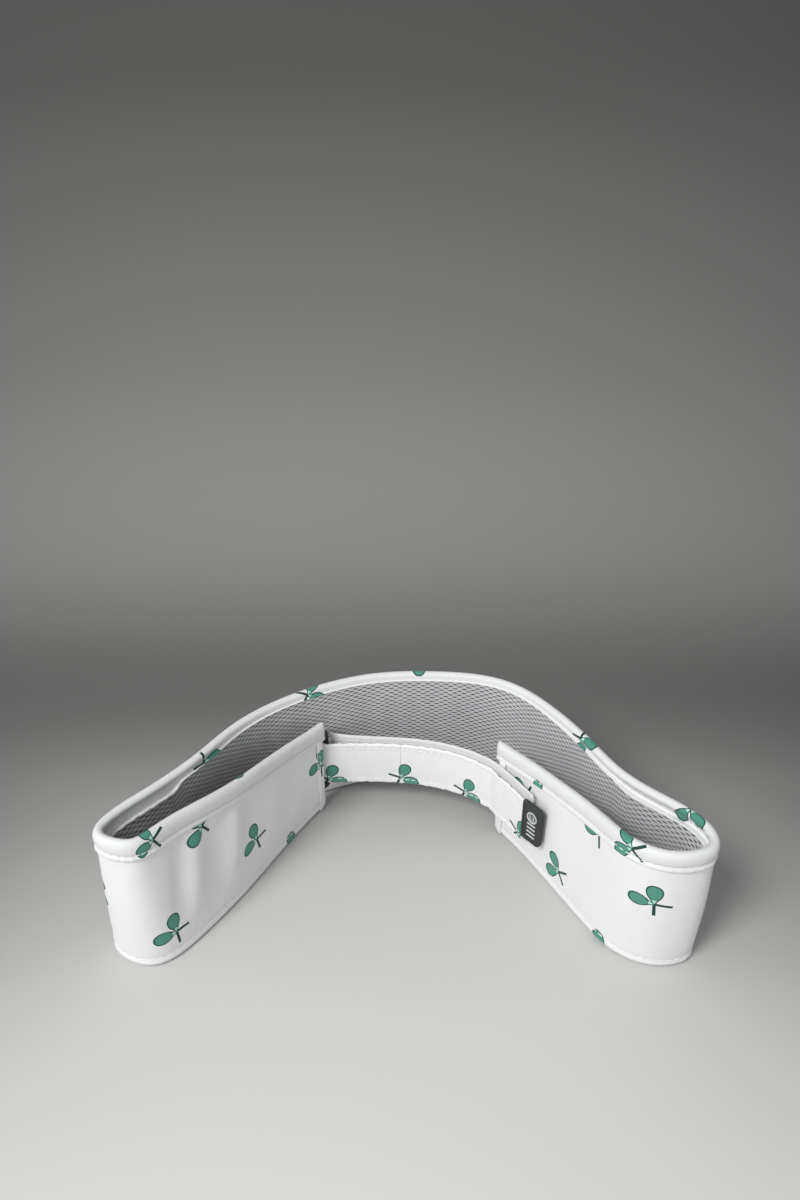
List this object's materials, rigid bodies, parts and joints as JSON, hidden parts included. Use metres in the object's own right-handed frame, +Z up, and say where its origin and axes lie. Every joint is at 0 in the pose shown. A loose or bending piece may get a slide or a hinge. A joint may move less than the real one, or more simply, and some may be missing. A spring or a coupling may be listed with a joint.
{
  "type": "sports headband",
  "caption": "Padded sports headband with mesh lining, narrowing arms and an adjustable strap turned through a ring and closed by hook and loop with a rubber pull tab.",
  "frame": {"origin": "on the floor under the middle of the outline", "axes": "+X along the band's width, from the arm that holds the ring to the arm that the tail closes on; +Y from the arms' tips towards the front of the band; +Z up, from the bottom edge to the bound top edge"},
  "size_m": [0.1846, 0.0936, 0.0495],
  "materials": {
    "printed_fabric": "smooth white performance fabric with a small printed motif of crossed rackets",
    "binding_tape": "smooth white printed fabric tape",
    "mesh_lining": "grey knitted mesh with short slits",
    "foam": "soft foam interlining",
    "ribbed_elastic": "ribbed white elastic with a looped face",
    "printed_strap": "smooth white printed fabric, gathered along its edges",
    "hook_tape": "white hook tape",
    "ring_plastic": "black moulded plastic",
    "tab_rubber": "dark grey moulded rubber with a raised rim",
    "thread": "white sewing thread"
  },
  "bodies": {
    "root": {"outer_shell": "printed_fabric", "foam_core": "foam", "mesh_lining": "mesh_lining", "top_binding": "binding_tape", "left_end_facing": "printed_fabric", "right_end_facing": "printed_fabric", "base_strap": "ribbed_elastic", "return_strap": "printed_strap", "binding_thread": "thread", "hem_thread": "thread", "left_end_thread": "thread", "right_end_thread": "thread", "strap_lower_thread": "thread", "strap_upper_thread": "thread"},
    "ring": {"strap_ring": "ring_plastic", "strap_turn": "printed_strap"},
    "tail": {"strap_tail": "printed_strap", "hook_patch": "hook_tape", "tail_end_thread": "thread"},
    "tab": {"pull_tab": "tab_rubber"}
  },
  "joints": [
    {"name": "tail_peel", "type": "hinge", "parent": "root", "child": "tail", "pos_m": [0.03096, 0.01242, 0], "axis": [0, 0, -1], "range_deg": [0, 110]},
    {"name": "tab_flip", "type": "hinge", "parent": "tail", "child": "tab", "pos_m": [0.04052, -0.00251, 0], "axis": [0, 0, -1], "range_deg": [0, 60], "stiffness_Nm_per_rad": 0.0002},
    {"name": "ring_swivel", "type": "hinge", "parent": "root", "child": "ring", "pos_m": [-0.03196, 0.0252, 0], "axis": [0, 0, 1], "range_deg": [-6, 3]}
  ]
}
